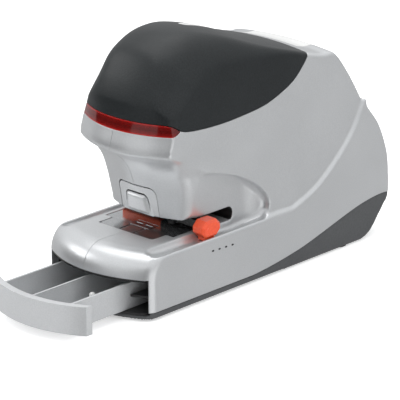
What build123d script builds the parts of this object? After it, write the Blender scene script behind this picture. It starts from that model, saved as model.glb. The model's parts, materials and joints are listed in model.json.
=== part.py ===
from build123d import *
import os
from math import acos, atan2, cos, degrees, hypot, pi, radians, sin, sqrt, tan

# Desktop electric stapler. Millimetres, +Z up, -Y is the front where paper goes in, +X is the
# right-hand side. Shapes are drawn with Y = 0 at the front corners of the housing skirt and are
# shifted along Y on export, so that the open stapler is centred on the origin.

# ---------------------------------------------------------------- driving dimensions
half_width = 44.0          # skirt of the housing
body_half_width = 42.2     # upper body, set in from the skirt
wall = 2.2                 # moulded shell thickness
seam = 0.15                # half of the gap at a part line
front_bow = 14.0           # how far the front edge bows out at the middle
rear_y = 225.0
platform_z = 41.5          # paper rests here
nose_z = 50.0              # underside of the head
throat_back_y = 82.0       # blind end of the paper throat
nose_half = 33.0           # half width of the head under the chin
chin_half, chin_y = 37.8, 22.0         # corners of the chin band, drawn as (x, y)
lens_z0 = 108.3
lens_z1 = 115.2
foot_height = 2.0
base_z = 1.2               # underside of the base tray

drawer_travel = 49.5
drawer_half = 28.0
drawer_z0 = 5.4
drawer_z1 = 22.0
drawer_wall = 1.5
bay_half = 38.6
bay_z0 = 5.0
bay_z1 = 24.8
bay_wall = 1.4

staple_width = 13.0        # crown of the staples this machine takes
staple_leg = 8.0
blade_y = 38.0
blade_stroke = 9.5
magazine_half = 8.8
magazine_z0 = 50.4
magazine_back_y = 112.0

plate_x = 23.0             # centre plane of each steel side plate
plate_t = 2.0
cam_y, cam_z = 132.0, 74.0
motor_y, motor_z = 185.0, 60.0
motor_r = 17.5
arm_y, arm_z = 98.0, 88.0
cam_base_r = 9.0
roller_r = 4.0
roller_gap = 0.3
cam_angle = radians(150)   # shaft turn that makes one full stroke

fine_module, fine_pinion, fine_wheel = 0.8, 14, 56
coarse_module, coarse_pinion, coarse_wheel = 1.0, 14, 56
mesh_play = 0.12           # added to each gear pair's centre distance

stop_y = 54.0              # depth stop at its front position

pressure_angle = radians(20)
tooth_root, tooth_tip = 1.2, 0.85      # depth and height of a tooth, in modules
flat_half = 15.2           # half distance between the motor can's flats

# centres of the frame's cross spacers, drawn as (y, z)
spacer_places = [(94, 33.5), (150, 33.5), (101, 70), (60, 96), (152, 92)]
# housing screws as (x, y, lowest point of the boss's web)
screw_places = [(36, 113, 9.5), (-36, 113, 9.5), (36, 160, 20), (-36, 160, 20)]
boss_top = 26.0
# feet as (x, y)
foot_places = [(34, 10), (-34, 10), (36.5, 178), (-36.5, 178)]
foot_r = 6.0
board_z = 112.0            # underside of the circuit board
board_t = 1.6


# ---------------------------------------------------------------- small helpers
def yz_prism(face, x0, x1):
    """Extrude a face drawn as (y, z) from x0 to x1."""
    return extrude(Plane.YZ.offset(x0) * face, amount=x1 - x0)


def xz_prism(face, y0, y1):
    """Extrude a face drawn as (x, z) from y0 to y1."""
    return extrude(Plane.XZ.offset(-y1) * face, amount=y1 - y0)


def xy_prism(face, z0, z1):
    """Extrude a face drawn as (x, y) from z0 to z1."""
    return extrude(Plane.XY.offset(z0) * face, amount=z1 - z0)


def poly(*points):
    return make_face(Polyline(*points, close=True))


def block(x0, x1, y0, y1, z0, z1):
    return Pos((x0 + x1) / 2, (y0 + y1) / 2, (z0 + z1) / 2) * Box(x1 - x0, y1 - y0, z1 - z0)


def rod_x(y, z, r, x0, x1):
    return Pos((x0 + x1) / 2, y, z) * Rot(0, 90, 0) * Cylinder(r, x1 - x0)


def rod_y(x, z, r, y0, y1):
    return Pos(x, (y0 + y1) / 2, z) * Rot(90, 0, 0) * Cylinder(r, y1 - y0)


def rod_z(x, y, r, z0, z1):
    return Pos(x, y, (z0 + z1) / 2) * Cylinder(r, z1 - z0)


def mirrored(shape):
    return mirror(shape, about=Plane.YZ)


def group(*shapes):
    """Several separate solids in one node."""
    solids = []
    for shape in shapes:
        solids.extend(shape.solids())
    return Compound(solids)


# ---------------------------------------------------------------- outer form
def inset_outline(stretches, inset):
    """Face from an anticlockwise loop of (kind, points) stretches, each point moved in by an inset.

    Each stretch ends where the next one starts, so its last point is left out of the list."""
    loop = [point for kind, points in stretches for point in points]
    moved = []
    for i, (x, y) in enumerate(loop):
        before, after = loop[i - 1], loop[(i + 1) % len(loop)]
        ax, ay = x - before[0], y - before[1]
        bx, by = after[0] - x, after[1] - y
        la, lb = hypot(ax, ay), hypot(bx, by)
        na, nb = (-ay / la, ax / la), (-by / lb, bx / lb)
        scale = inset / (1 + na[0] * nb[0] + na[1] * nb[1])
        moved.append((x + (na[0] + nb[0]) * scale, y + (na[1] + nb[1]) * scale))
    edges = []
    start = 0
    for kind, points in stretches:
        span = [moved[(start + k) % len(moved)] for k in range(len(points) + 1)]
        edges.append(Spline(*span) if kind == "curve" else Polyline(*span))
        start += len(points)
    return make_face(edges)


def side_outline(inset=0.0):
    """The whole silhouette as seen from the side, drawn as (y, z), anticlockwise from the sill."""
    sill = [(-front_bow, 5.2)]
    foot = [(70, 5.2), (105, 6.6), (137.7, 11.8), (176.5, 21.8), (193.4, 25.6), (210.5, 27.5)]
    back = [(rear_y, 27.0), (223, 43.3), (218.3, 57.8), (210.5, 75.4), (197.5, 92.5), (182.7, 112.5)]
    dome = [(168.5, 134.5), (142.6, 141.4), (124, 147.2), (88, 158.7), (62, 163.6), (49.5, 163.0),
            (38, 158.4), (22.5, 141), (15.5, 124)]
    nose = [(13.0, 108.5), (9.5, 101), (9.5, 96.5), (22.4, 96.5), (30, 90), (41, 80), (41, platform_z)]
    lip = [(7, platform_z), (0, 41.0), (-7.8, 38.0), (-12.4, 31.5)]
    front = [(-front_bow, 26.0)]
    stretches = [("line", sill), ("curve", foot), ("curve", back), ("curve", dome),
                 ("line", nose), ("curve", lip), ("line", front)]
    return inset_outline(stretches, inset)


def skirt_plan(inset=0.0):
    """Plan of the skirt and platform: bowed front, straight sides, softly bowed rear."""
    w = half_width - inset
    front = ThreePointArc((-w, 0.6 + inset), (0, -front_bow + inset), (w, 0.6 + inset))
    right = Line((w, 0.6 + inset), (w, 196))
    corner = ThreePointArc((w, 196), (w - 3, 213), (w - 9, rear_y - 5 - inset))
    rear = Spline((w - 9, rear_y - 5 - inset), (0, rear_y + 0.6 - inset), (9 - w, rear_y - 5 - inset))
    corner_left = ThreePointArc((9 - w, rear_y - 5 - inset), (3 - w, 213), (-w, 196))
    left = Line((-w, 196), (-w, 0.6 + inset))
    return make_face([front, right, corner, rear, corner_left, left])


def head_plan(inset=0.0):
    """Plan of the chin band and cap: bowed front with crisp corners, sides that widen backwards."""
    w = chin_half - inset
    corner_y = chin_y + inset
    front = ThreePointArc((-w, corner_y), (0, 9.5 + inset), (w, corner_y))
    right = Spline((w, corner_y), (40.3 - inset, 52), (42.3 - inset, 90), (half_width - inset, 140))
    back = Polyline((half_width - inset, 140), (half_width - inset, 240), (inset - half_width, 240),
                    (inset - half_width, 140))
    left = Spline((inset - half_width, 140), (inset - 42.3, 90), (inset - 40.3, 52), (-w, corner_y))
    return make_face([front, right, back, left])


def crowned_section(y, top, soft, inset=0.0):
    """One cross-section of the body: tapering sides, rounded shoulders and a crowned top.

    Soft is 1 for the domed front and 0 for the tail, where the shoulders are tighter."""
    low = half_width - inset
    high = 41.2 - 2.6 * soft - inset
    z = top - inset
    spring = (high, z - 11 - 15 * soft)
    knee = (high - 1.6 - 2.4 * soft, z - 5.2 - 8.4 * soft)
    brow = (high - 7 - 7.5 * soft, z - 2.4 - 4.6 * soft)
    points = [(-low, -2), (low, -2), (low, 60), spring]
    right = ThreePointArc(spring, knee, brow)
    crown = ThreePointArc(brow, (0, z), (-brow[0], brow[1]))
    left = ThreePointArc((-brow[0], brow[1]), (-knee[0], knee[1]), (-spring[0], spring[1]))
    sides = Polyline(*points)
    other = Line((-spring[0], spring[1]), (-low, 60))
    close = Line((-low, 60), (-low, -2))
    return Plane.XZ.offset(-y) * make_face([sides, right, crown, left, other, close])


def crowned_body(inset=0.0):
    stations = [(-20, 163.8, 1), (48, 164.0, 1), (88, 159.2, 0.7), (142, 142.0, 0.2), (168, 135.4, 0),
                (230, 128, 0)]
    return loft([crowned_section(y, top, soft, inset) for y, top, soft in stations])


def neck_section(z, front_mid, front_side, half, inset=0.0):
    w = half - inset
    front = ThreePointArc((-w, front_side + inset), (0, front_mid + inset), (w, front_side + inset))
    rest = Polyline((w, front_side + inset), (w, 112), (-w, 112), (-w, front_side + inset))
    return Plane.XY.offset(z) * make_face([front, rest])


def neck(inset=0.0):
    """The head under the chin, which narrows downwards to the nose."""
    stations = [(nose_z - 8, 33.6, 42.8, nose_half), (62, 31.5, 40.5, nose_half), (78, 27, 36.1, 33.4),
                (90, 18.5, 28.6, 35.2), (97.5, 9.6, 22.2, chin_half)]
    return loft([neck_section(*station, inset) for station in stations])


def outer_form(inset=0.0):
    """The stapler's envelope without its throat and side recesses, set in by an inset."""
    bulk = yz_prism(side_outline(inset), -half_width - 1, half_width + 1) & crowned_body(inset)
    bulk = bulk & xy_prism(skirt_plan(inset), 0, 170)
    upper = bulk & xy_prism(head_plan(inset), platform_z, 170)
    lower = bulk & block(-50, 50, -30, 240, 0, platform_z)
    return upper + lower + neck(inset)


def crease_cut(depth_x):
    """The zone above the diagonal crease, where the upper body is set in from the skirt."""
    crease = Spline((104, 31.5), (131, 40.2), (151, 48.5), (171, 63), (184.5, 76.8), (200, 94))
    rest = Polyline((200, 94), (240, 100), (240, 175), (0, 175), (0, 84), (104, 84), (104, 31.5))
    side = yz_prism(make_face([crease, rest]), depth_x, 60)
    return side + mirrored(side)


def scoop_outline(grow=0.0):
    """Side recess that lets paper and fingers in beside the head, drawn as (y, z)."""
    floor = [(10, 37), (94, 37)]
    roof = [(101, 40), (104, 45.5), (101.5, 52.5), (92.8, 61), (77.5, 70), (61, 75.6), (42.8, 80)]
    front = [(20, 83.6)]
    return inset_outline([("line", floor[:1]), ("curve", floor[1:] + roof), ("line", front)], -grow)


def recesses(grow=0.0):
    """Throat, side recesses and knob channels, optionally grown to leave a wall around them."""
    side = yz_prism(scoop_outline(grow), nose_half - grow, 60)
    ridge = block(41.2 + grow, 60, -30, 120, 0, 39.2 - grow)
    side = side - ridge
    mid_z = (platform_z + nose_z) / 2
    gap_half = (nose_z - platform_z) / 2 + grow
    gap = block(-60, 60, 20, throat_back_y - gap_half + grow, mid_z - gap_half, mid_z + gap_half)
    gap_end = rod_x(throat_back_y - gap_half + grow, mid_z, gap_half, -60, 60)
    return side + mirrored(side) + gap + gap_end


def cap_zone(grow=0.0):
    """Everything above the cover's lower edge, drawn as (y, z)."""
    front = [(5, 115.5), (20, 115.5)]
    corner = [(25, 115.1), (31.4, 110.8)]
    edge = [(46, 109.1), (64.3, 108.8), (83, 109.8), (101.9, 111.8), (115.9, 115.8)]
    tip = [(128.8, 122), (137.7, 130)]
    top = [(143, 137.5), (146, 150), (146, 175), (5, 175)]
    face = inset_outline([("line", front + corner[:1]), ("curve", corner[1:] + edge + tip), ("line", top)], -grow)
    return yz_prism(face, -60, 60)


def lens_zone(grow=0.0):
    """The strip between chin band and cover, which tapers to a point on each side."""
    points = [(5, lens_z0), (24.5, lens_z0), (31.0, 110.4), (24.8, lens_z1 - 0.4), (20, lens_z1), (5, lens_z1)]
    return yz_prism(inset_outline([("line", points)], -grow), -60, 60)


def panel_zone(grow=0.0):
    return block(-24 - grow, 24 + grow, 150 - grow, 168.5 + grow, 100, 170)


def inlay_zone(grow=0.0):
    pill = SlotOverall(21 + 2 * grow, 7 + 2 * grow, rotation=90)
    return Pos(0, 81, 0) * xy_prism(pill, 140, 175)


def body_shell():
    """Hollow skin of the whole stapler above the base, before it is split into its mouldings."""
    skin = outer_form() - crease_cut(body_half_width) - recesses()
    cavity = outer_form(wall) - crease_cut(body_half_width - wall) - recesses(wall)
    sump = xy_prism(skirt_plan(wall), 0, 24)
    sump = sump + (xy_prism(skirt_plan(wall), 0, 30) & block(-50, 50, 60, 222, 0, 30))
    mouth = block(wall - half_width, half_width - wall, -20, 8, 0, bay_z1 + bay_wall + 0.3)
    return skin - cavity - sump - mouth


# ---------------------------------------------------------------- housings and covers
def housing_openings():
    """Cut-outs shared by both housings."""
    magazine_door = block(-16.1, 16.1, 20, 42, 45, 69.3)
    magazine_slot = block(-9.4, 9.4, 30, 90, 48, 64)
    lever_slot = block(13.2, 18.8, 44, 53, 48, 56)
    plate_pocket = xy_prism(anvil_plate_outline(0.15), 40.0, 43)
    anvil_window = block(-9.2, 9.2, 33.2, 42.8, 30, 43)
    inlet_window = block(-28.3, -15.7, 212, 230, 33.2, 44.8)
    return magazine_door + magazine_slot + lever_slot + plate_pocket + anvil_window + inlet_window


def housing_boss(x, y, web_z):
    """Screw boss that hangs down inside the skirt, webbed to the side wall above the base's rim."""
    side = 1 if x > 0 else -1
    web = block(min(x, side * 42.5), max(x, side * 42.5), y - 1.2, y + 1.2, web_z, boss_top)
    return rod_z(x, y, 3.6, 4.0, boss_top) + web - rod_z(x, y, 1.5, 0, 18)


def housings(shell):
    zones = cap_zone(seam) + lens_zone(seam) + panel_zone(seam)
    body = shell - zones - housing_openings()
    right = body & block(0.05, 60, -40, 260, 0, 180)
    left = body & block(-60, -0.05, -40, 260, 0, 180)
    for x, y, web_z in screw_places:
        if x > 0:
            right = right + housing_boss(x, y, web_z)
        else:
            left = left + housing_boss(x, y, web_z)
    return left, right


def top_cover(shell):
    return (shell & cap_zone(-seam)) - inlay_zone(0.1)


def cover_inlay(shell):
    return shell & cap_zone(-seam) & inlay_zone()


def indicator_lens(shell):
    return shell & lens_zone(-seam)


def rear_top_panel(shell):
    return shell & panel_zone(-seam)


def base_outline():
    """Side view of the dark base: flat underside that sweeps up under the tail."""
    under = [(-13.4, base_z), (188, base_z)]
    tail = [(198, 2.2), (205, 7.5), (221.5, 25.2)]
    top = [(224.6, 26.8), (210.5, 27.2), (193.4, 25.3), (176.5, 21.5), (137.7, 11.5), (105, 6.3)]
    sill = [(70, 4.9), (-13.4, 4.9)]
    return inset_outline([("line", under[:1]), ("curve", under[1:] + tail), ("curve", top), ("line", sill)], 0)


def base_tray():
    solid = yz_prism(base_outline(), -half_width, half_width) & xy_prism(skirt_plan(0.4), 0, 40)
    floor_z = base_z + wall
    hollow = poly((84, floor_z), (186, floor_z), (196, floor_z + 1), (202, 8.5), (218, 26), (218, 40),
                  (84, 40))
    tray = solid - (yz_prism(hollow, -60, 60) & xy_prism(skirt_plan(0.4 + wall), 0, 50))
    tray = tray - block(-41.9, 41.9, -30, 84.1, 3.5, 10)
    for x, y in foot_places:
        tray = tray - rod_z(x, y, foot_r + 0.1, 0, foot_height)
    for x, y, _ in screw_places:
        tray = tray + rod_z(x, y, 4.5, base_z + 0.2, 3.9)
        tray = tray - rod_z(x, y, 1.7, 0, 10) - rod_z(x, y, 3.2, 0, 2.6)
    return tray


def rubber_feet():
    return group(*[rod_z(x, y, foot_r, 0, foot_height) for x, y in foot_places])


def base_screws():
    screws = []
    for x, y, _ in screw_places:
        shank = rod_z(x, y, 1.45, 2.6, 16)
        head = rod_z(x, y, 2.9, 1.3, 2.6)
        slot = block(x - 2.2, x + 2.2, y - 0.35, y + 0.35, 1.2, 1.9)
        screws.append(shank + head - slot)
    return group(*screws)


# ---------------------------------------------------------------- drawer
def bowed_zone(y_shift):
    """Everything behind the front bow, moved back by y_shift, drawn as (x, y)."""
    w = half_width
    front = ThreePointArc((-w, 0.6 + y_shift), (0, y_shift - front_bow), (w, 0.6 + y_shift))
    rest = Polyline((w, 0.6 + y_shift), (w, 120), (-w, 120), (-w, 0.6 + y_shift))
    return make_face([front, rest])


def drawer_bay():
    """Dark liner in which the drawer runs, with one guide rail on each side."""
    outer_half = bay_half + bay_wall
    tube = block(-outer_half, outer_half, -20, 80, bay_z0 - bay_wall, bay_z1 + bay_wall)
    tube = tube - block(-bay_half, bay_half, -20, 80 - bay_wall, bay_z0, bay_z1)
    for side in (-1, 1):
        inner, outer = drawer_half + 0.8, bay_half + 0.2
        x0, x1 = min(side * inner, side * outer), max(side * inner, side * outer)
        tube = tube + block(x0, x1, -20, 79, 13.4, 14.8)
    lips = tube & xy_prism(bowed_zone(0.6), 0, 60)
    panel_space = xy_prism(bowed_zone(-1), bay_z0, bay_z1) - xy_prism(bowed_zone(5.6), bay_z0, bay_z1)
    return lips - panel_space


def drawer_front():
    """Bowed front panel, drawn out by the drawer's travel."""
    band = bowed_zone(0.0) - bowed_zone(4.6)
    panel = xy_prism(band, 5.6, 23.8) & block(-41.2, 41.2, -30, 30, 0, 40)
    pull = block(-14, 14, -30, 0, 5.0, 8.4) & xy_prism(bowed_zone(1.6) - bowed_zone(3.4), 5.0, 8.4)
    panel = panel - pull
    return Pos(0, -drawer_travel, 0) * panel


def drawer_tray():
    """Tray with two compartments for spare staple strips."""
    body = block(-drawer_half, drawer_half, -20, 77, drawer_z0, drawer_z1) & xy_prism(bowed_zone(4.65), 0, 60)
    room = xy_prism(bowed_zone(4.65 + drawer_wall), drawer_z0 + drawer_wall, 60)
    room = room & block(drawer_wall - drawer_half, drawer_half - drawer_wall, -20, 77 - drawer_wall, 0, 60)
    divider = block(-0.6, 0.6, -20, 80, 0, drawer_z1 - 0.4)
    return Pos(0, -drawer_travel, 0) * (body - (room - divider))


def strip_peg():
    """Rounded post that keeps the strips from sliding back in the right-hand compartment."""
    post = rod_z(10, 33.5, 2.0, drawer_z0 + drawer_wall, 13) + Pos(10, 33.5, 13) * Sphere(2.0)
    return Pos(0, -drawer_travel, 0) * post


# ---------------------------------------------------------------- staple bed
def anvil_plate_outline(grow=0.0):
    """Stepped plan of the cover plate around the anvil, drawn as (x, y)."""
    narrow, wide, front, step, back = 23 + grow, 29 + grow, 22 - grow, 34 - grow, 62 + grow
    face = poly((-narrow, front), (narrow, front), (narrow, step), (wide, step), (wide, back), (-wide, back),
                (-wide, step), (-narrow, step))
    return fillet(face.vertices().sort_by(Axis.Y)[:2], 3.5)


def anvil_plate():
    plate = xy_prism(anvil_plate_outline(), 40.0, 41.3)
    slots = block(-6.5, -5.1, 23, 33, 39, 43) + block(5.1, 6.5, 23, 33, 39, 43)
    return plate - slots - block(-8.8, 8.8, 33.6, 42.4, 39, 43)


def anvil():
    """Hardened block that turns the staple legs in, standing up through the plate."""
    body = block(-8.5, 8.5, 34, 42, 28, 41.4)
    grooves = rod_x(blade_y, 42.0, 1.2, -7, -1) + rod_x(blade_y, 42.0, 1.2, 1, 7)
    return body - grooves


def anvil_support():
    body = block(-21.9, 21.9, 29, 49, 26.3, 38.4)
    return body - block(-8.6, 8.6, 33.9, 42.1, 28, 40)


# ---------------------------------------------------------------- depth stop
def depth_stop_bar():
    """Orange cross bar that the paper's edge comes to rest against."""
    bar = block(-32, 34.0, stop_y - 2.4, stop_y + 2.4, 42.4, 49.0)
    bar = chamfer(bar.edges().filter_by(Axis.X), 0.8)
    return bar


def depth_stop_knob():
    """Faceted knob on the right-hand end of the bar, with a foot that runs in the channel."""
    grip = block(34.0, 43.0, stop_y - 8, stop_y + 8, 39.6, 50.4)
    grip = chamfer(grip.edges().filter_by(Axis.X), 3.6)
    grip = chamfer(grip.faces().sort_by(Axis.X)[-1].edges(), 1.6)
    foot = block(34.4, 40.6, stop_y - 4, stop_y + 4, 37.3, 41)
    return grip + foot


# ---------------------------------------------------------------- magazine
def magazine_front():
    """Front of the magazine, flush with the nose, with cheeks that leave the blade's slot free."""
    panel = (neck() - neck(2.3)) & block(-15.7, 15.7, 20, 45, nose_z + 0.2, 68.9)
    cheeks = block(-12.5, 12.5, 32, 40, magazine_z0, 61.0) & neck(2.0)
    slot = block(-6.8, 6.8, 37.1, 41, 40, 80)
    recess = xz_prism(button_outline(0.3), 20, 50)
    return panel - recess + (cheeks - slot)


def button_outline(grow=0.0):
    """Trapezoid press pad in the middle of the magazine front, drawn as (x, z)."""
    return inset_outline([("line", [(-10, 50.9), (10, 50.9), (8.2, 63.4), (-8.2, 63.4)])], -grow)


def release_button():
    """Pad that is pressed in to let the magazine out; it stands slightly proud."""
    pad = (neck(-0.9) - neck(0.6)) & xz_prism(button_outline(), 20, 45)
    return pad & block(-20, 20, 20, 45, nose_z + 0.3, 68)


def magazine_channel():
    outer = block(-magazine_half, magazine_half, 40.2, magazine_back_y, magazine_z0, 61.0)
    inner = block(-7.6, 7.6, 30, magazine_back_y - 1.5, magazine_z0 + 1.0, 70)
    return outer - inner


def magazine_core():
    """Rail the strip straddles, hollow for the pusher's rod and spring."""
    core = block(-5.5, 5.5, 40.2, magazine_back_y - 1.5, magazine_z0 + 1.0, 59.0)
    core = core - block(-3.6, 3.6, 42, 120, magazine_z0 + 2.0, 57.8) - block(-1.3, 1.3, 42, 120, 50, 60)
    return core + block(-5.5, 5.5, 40.2, magazine_back_y - 1.5, magazine_z0 + 1.0, magazine_z0 + 2.0)


def staple_strip():
    outer = block(-staple_width / 2, staple_width / 2, 39.3, 71.5, 51.8, 51.8 + staple_leg)
    return outer - block(0.6 - staple_width / 2, staple_width / 2 - 0.6, 30, 80, 50, 59.2)


def staple_pusher():
    saddle = block(-6.4, 6.4, 72.2, 80, 59.3, 60.8)
    neck_bit = block(-1.1, 1.1, 73.2, 79, 57.0, 59.5)
    slider = block(-3.3, 3.3, 72.6, 80, 52.7, 57.5)
    return saddle + neck_bit + slider - rod_y(0, 55.1, 1.3, 60, 100)


def pusher_rod():
    return rod_y(0, 55.1, 1.1, 42.1, magazine_back_y - 1.5)


def pusher_spring():
    turns_y0, turns_y1 = 80.4, magazine_back_y - 2.0
    coil = Helix(pitch=2.6, height=turns_y1 - turns_y0, radius=2.1)
    wire = sweep(Plane(origin=coil @ 0, z_dir=coil % 0) * Circle(0.3), path=coil)
    return Pos(0, turns_y0, 55.1) * Rot(-90, 0, 0) * wire


# ---------------------------------------------------------------- steel frame
def side_plate(x):
    outline = poly((30, 26.3), (160, 26.3), (176, 36), (203, 40), (203, 74), (190, 84), (160, 100), (48, 100),
                   (44, 92), (44, 52.8), (85.4, 52.8), (85.4, 38.6), (30, 38.6))
    plate = yz_prism(outline, x - plate_t / 2, x + plate_t / 2)
    for y, z, r in plate_holes:
        plate = plate - rod_x(y, z, r, x - 5, x + 5)
    return plate


def frame_spacers():
    return group(*[rod_x(y, z, 2.6, plate_t / 2 - plate_x, plate_x - plate_t / 2) for y, z in spacer_places])


def frame_screws():
    screws = []
    for y, z in spacer_places:
        for side in (-1, 1):
            face = side * (plate_x + plate_t / 2)
            screws.append(rod_x(y, z, 2.6, min(face, face + side * 0.9), max(face, face + side * 0.9)))
    return group(*screws)


def blade_guide():
    front = block(-12, 12, 35.4, 37.2, 64.5, 95)
    bridge = block(-21.9, 21.9, 35.4, 52, 95, 97)
    return front + bridge


# ---------------------------------------------------------------- drive
def gear_face(teeth, module, phase):
    """Involute gear outline, drawn as (y, z), with a tooth centred at the phase angle."""
    pitch_r = teeth * module / 2
    base_r = pitch_r * cos(pressure_angle)
    root_r = pitch_r - tooth_root * module
    tip_r = pitch_r + tooth_tip * module
    slack = 0.09 / pitch_r
    half_tooth = pi / (2 * teeth) - slack
    inv_pitch = tan(pressure_angle) - pressure_angle
    points = []
    for tooth in range(teeth):
        middle = phase + 2 * pi * tooth / teeth
        flank = []
        for r in (max(base_r, root_r + 0.1), (base_r + pitch_r) / 2, pitch_r, (pitch_r + tip_r) / 2, tip_r):
            angle = acos(min(1.0, base_r / r))
            flank.append((r, half_tooth + inv_pitch - (tan(angle) - angle)))
        foot = flank[0][1] + 0.12 / pitch_r
        for r, half in [(root_r, foot)] + flank:
            points.append((r * cos(middle - half), r * sin(middle - half)))
        for r, half in flank[::-1] + [(root_r, foot)]:
            points.append((r * cos(middle + half), r * sin(middle + half)))
    return poly(*points)


def mesh_phase(phase, teeth, other_teeth, direction):
    """Phase of a gear that meshes with one at the given phase, seen in the given direction."""
    fraction = ((direction - phase) / (2 * pi / teeth)) % 1.0
    return direction + pi - (0.5 - fraction) * 2 * pi / other_teeth


def gear(y, z, teeth, module, phase, x0, x1):
    return Pos(0, y, z) * yz_prism(gear_face(teeth, module, phase), x0, x1)


def idler_place():
    """Where the idler sits so that it meshes with both the cam gear and the motor pinion."""
    to_cam = coarse_module * (coarse_pinion + coarse_wheel) / 2 + mesh_play
    to_motor = fine_module * (fine_pinion + fine_wheel) / 2 + mesh_play
    dy, dz = motor_y - cam_y, motor_z - cam_z
    span = hypot(dy, dz)
    along = (to_cam ** 2 - to_motor ** 2 + span ** 2) / (2 * span)
    below = sqrt(to_cam ** 2 - along ** 2)
    return (cam_y + (along * dy + below * dz) / span, cam_z + (along * dz - below * dy) / span)


idler_y, idler_z = idler_place()
cam_to_idler = atan2(idler_z - cam_z, idler_y - cam_y)
idler_to_motor = atan2(motor_z - idler_z, motor_y - idler_y)
coarse_phase = mesh_phase(0.0, coarse_wheel, coarse_pinion, cam_to_idler)
motor_phase = mesh_phase(0.0, fine_wheel, fine_pinion, idler_to_motor)

roller_y, roller_z = cam_y, cam_z + cam_base_r + roller_r + roller_gap
arm_angle = blade_stroke / (arm_y - 42.0)
cam_lift = (roller_y - arm_y) * arm_angle

plate_holes = [(cam_y, cam_z, 6.0), (motor_y, motor_z, 4.2), (arm_y, arm_z, 3.0), (idler_y, idler_z, 2.0),
               (50, 60, 1.5)]


def cam_radius(angle):
    """Cam radius by angle from the top towards the rear: a steady rise, a dwell and a fall."""
    turn = angle % (2 * pi)
    dwell = radians(185)
    back = radians(335)
    if turn < cam_angle:
        return cam_base_r + cam_lift * turn / cam_angle
    if turn < dwell:
        return cam_base_r + cam_lift
    if turn < back:
        return cam_base_r + cam_lift * (back - turn) / (back - dwell)
    return cam_base_r


def drive_cam():
    steps = 120
    points = []
    for i in range(steps):
        angle = 2 * pi * i / steps
        r = cam_radius(angle)
        points.append((r * sin(angle), r * cos(angle)))
    cam = Pos(0, cam_y, cam_z) * yz_prism(poly(*points), -2.8, 2.8)
    return cam - rod_x(cam_y, cam_z, 4.0, -5, 5)


def cam_shaft():
    return rod_x(cam_y, cam_z, 4.0, -27, 31.5)


def cam_gear():
    wheel = gear(cam_y, cam_z, coarse_wheel, coarse_module, 0.0, 25.2, 30.2)
    ring = rod_x(cam_y, cam_z, 23, 28, 31) - rod_x(cam_y, cam_z, 9, 28, 31)
    return wheel - ring - rod_x(cam_y, cam_z, 4.0, 20, 40)


def shaft_bushes():
    bushes = []
    for side in (-1, 1):
        x0, x1 = plate_x - plate_t / 2 - 0.6, plate_x + plate_t / 2 + 0.6
        x0, x1 = (x0, x1) if side > 0 else (-x1, -x0)
        bushes.append(rod_x(cam_y, cam_z, 5.95, x0, x1) - rod_x(cam_y, cam_z, 4.05, -40, 40))
    return group(*bushes)


def idler_gear():
    wheel = gear(idler_y, idler_z, fine_wheel, fine_module, 0.0, 31.0, 35.0)
    pinion = gear(idler_y, idler_z, coarse_pinion, coarse_module, coarse_phase, 25.2, 31.0)
    return wheel + pinion - rod_x(idler_y, idler_z, 2.05, 20, 40)


def idler_axle():
    return rod_x(idler_y, idler_z, 2.0, plate_x - 1, 36.6)


def motor_flats():
    """Space above and below the flats of the motor can."""
    above = block(-30, 30, 160, 210, motor_z + flat_half, 90)
    return above + block(-30, 30, 160, 210, 30, motor_z - flat_half)


def motor():
    can = rod_x(motor_y, motor_z, motor_r, -21.8, 19.5)
    collar = rod_x(motor_y, motor_z, 4.0, 19.5, 24.6)
    body = can + collar - rod_x(motor_y, motor_z, 1.65, -20, 30)
    return body - motor_flats()


def motor_shaft():
    return rod_x(motor_y, motor_z, 1.6, -19.9, 36.5)


def motor_pinion():
    body = gear(motor_y, motor_z, fine_pinion, fine_module, motor_phase, 30.4, 35.6)
    return body - rod_x(motor_y, motor_z, 1.6, 20, 40)


def motor_ring():
    """Rubber ring that holds the motor quiet between the side plates."""
    ring = rod_x(motor_y, motor_z, motor_r + 1.4, -12, -4) - rod_x(motor_y, motor_z, motor_r, -13, -3)
    return ring - motor_flats()


def drive_arm():
    """Rocker from the cam roller over its pivot to the driver."""
    outline = poly((47.6, arm_z - 3.8), (arm_y - 6, arm_z - 6), (arm_y + 8, arm_z - 5), (roller_y - 1, 84),
                   (roller_y + 4, 86), (roller_y + 3, 91.5), (arm_y, arm_z + 6), (47.6, arm_z + 1.0))
    arm = yz_prism(outline, -5.2, 5.2)
    tip = rod_x(42.0, 86.0, 2.1, -5.2, 5.2)
    link = yz_prism(poly((42, 84.4), (48, 84.6), (48, 87.6), (42, 87.5)), -5.2, 5.2)
    roller_room = block(-3.3, 3.3, roller_y - 6, roller_y + 8, 78, 98)
    bores = rod_x(arm_y, arm_z, 3.05, -10, 10) + rod_x(roller_y, roller_z, 1.8, -10, 10)
    return arm + tip + link - roller_room - bores


def arm_pin():
    return rod_x(arm_y, arm_z, 3.0, -plate_x - 2, plate_x + 2)


def roller_pin():
    return rod_x(roller_y, roller_z, 1.8, -5.2, 5.2)


def cam_roller():
    return rod_x(roller_y, roller_z, roller_r, -3.0, 3.0) - rod_x(roller_y, roller_z, 1.86, -5, 5)


def driver_blade():
    """Blade that shears one staple off the strip, with a yoke for the arm's tip."""
    blade = block(-6.3, 6.3, blade_y - 0.5, blade_y + 0.5, 63.2, 82)
    yoke = block(-6.3, 6.3, blade_y - 0.5, 46.5, 80, 92) - block(-10, 10, 39.5, 60, 83.5, 88.5)
    return blade + yoke


# ---------------------------------------------------------------- trigger and electrics
def trigger_lever():
    """Lever whose toe hangs in the throat and is pushed back by the paper."""
    arm = yz_prism(poly((48.6, 60), (51.6, 60), (47.4, 44.8), (44.8, 44.8)), 14.2, 17.8)
    toe = rod_x(46.1, 44.9, 1.3, 14.2, 17.8)
    hub = rod_x(50, 60, 3.4, 14.2, 17.8)
    finger = yz_prism(poly((50, 58.8), (61, 60.4), (61, 62.4), (50, 62.6)), 14.2, 17.8)
    return arm + toe + hub + finger - rod_x(50, 60, 1.55, 10, 20)


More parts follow.
